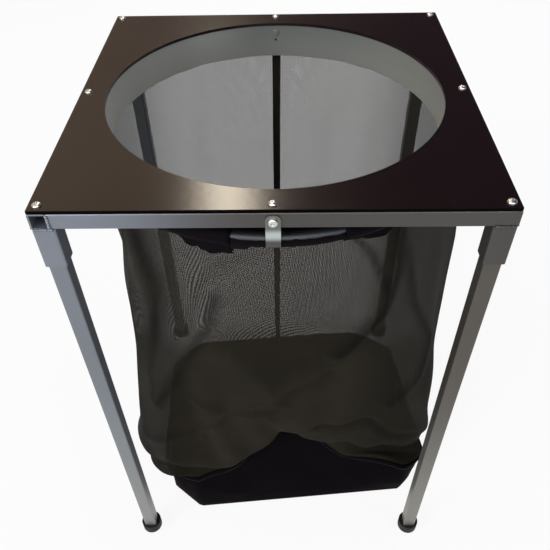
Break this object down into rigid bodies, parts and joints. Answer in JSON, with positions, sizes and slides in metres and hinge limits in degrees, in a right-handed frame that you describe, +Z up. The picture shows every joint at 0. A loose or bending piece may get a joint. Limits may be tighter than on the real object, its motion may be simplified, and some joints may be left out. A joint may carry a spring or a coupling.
{
  "type": "bag stand",
  "caption": "Square tube-frame stand with a glossy top plate, a round collared drop-through opening and a mesh catch bag hung on a hoop between plug-in legs.",
  "frame": {"origin": "on the floor under the middle of the square top plate", "axes": "+Z up, -Y the front of the stand, +X to the right seen from the front"},
  "size_m": [0.5298, 0.5129, 0.7528],
  "materials": {
    "plate_gloss": "high gloss, very dark brown-black",
    "frame_paint": "satin silver-grey paint",
    "leg_paint": "satin silver-grey paint",
    "weld": "painted weld bead",
    "collar_sheet": "satin rolled sheet",
    "zinc": "bright zinc plate",
    "rubber": "matte black",
    "hose": "semi-gloss black",
    "black_plastic": "moulded",
    "hem_tape": "woven tape",
    "mesh_cloth": "fine see-through mesh",
    "base_cloth": "close-woven cloth"
  },
  "bodies": {
    "frame": {"top_plate": "plate_gloss", "plate_screws": "zinc", "front_rail": "frame_paint", "right_rail": "frame_paint", "rear_rail": "frame_paint", "left_rail": "frame_paint", "corner_welds": "weld", "front_left_socket": "frame_paint", "front_right_socket": "frame_paint", "rear_right_socket": "frame_paint", "rear_left_socket": "frame_paint", "collar_ring": "collar_sheet", "collar_spacer": "zinc", "collar_bolt": "zinc", "collar_nut": "zinc", "front_hoop_clip": "zinc", "right_hoop_clip": "zinc", "rear_hoop_clip": "zinc", "left_hoop_clip": "zinc", "clip_bolts": "zinc", "clip_nuts": "zinc", "bag_hoop": "hose", "hoop_joiner": "black_plastic", "bag_hem": "hem_tape", "front_mesh": "mesh_cloth", "right_mesh": "mesh_cloth", "rear_mesh": "mesh_cloth", "left_mesh": "mesh_cloth", "bag_base": "base_cloth", "rear_seam_tape": "hem_tape"},
    "front_left_leg_unit": {"front_left_leg": "leg_paint", "front_left_foot": "rubber"},
    "front_right_leg_unit": {"front_right_leg": "leg_paint", "front_right_foot": "rubber"},
    "rear_right_leg_unit": {"rear_right_leg": "leg_paint", "rear_right_foot": "rubber"},
    "rear_left_leg_unit": {"rear_left_leg": "leg_paint", "rear_left_foot": "rubber"}
  },
  "joints": [
    {"name": "front_left_leg_pull", "type": "slide", "parent": "frame", "child": "front_left_leg_unit", "axis": [0, 0, -1], "range_m": [0, 0.045]},
    {"name": "front_right_leg_pull", "type": "slide", "parent": "frame", "child": "front_right_leg_unit", "axis": [0, 0, -1], "range_m": [0, 0.045]},
    {"name": "rear_right_leg_pull", "type": "slide", "parent": "frame", "child": "rear_right_leg_unit", "axis": [0, 0, -1], "range_m": [0, 0.045]},
    {"name": "rear_left_leg_pull", "type": "slide", "parent": "frame", "child": "rear_left_leg_unit", "axis": [0, 0, -1], "range_m": [0, 0.045]}
  ]
}
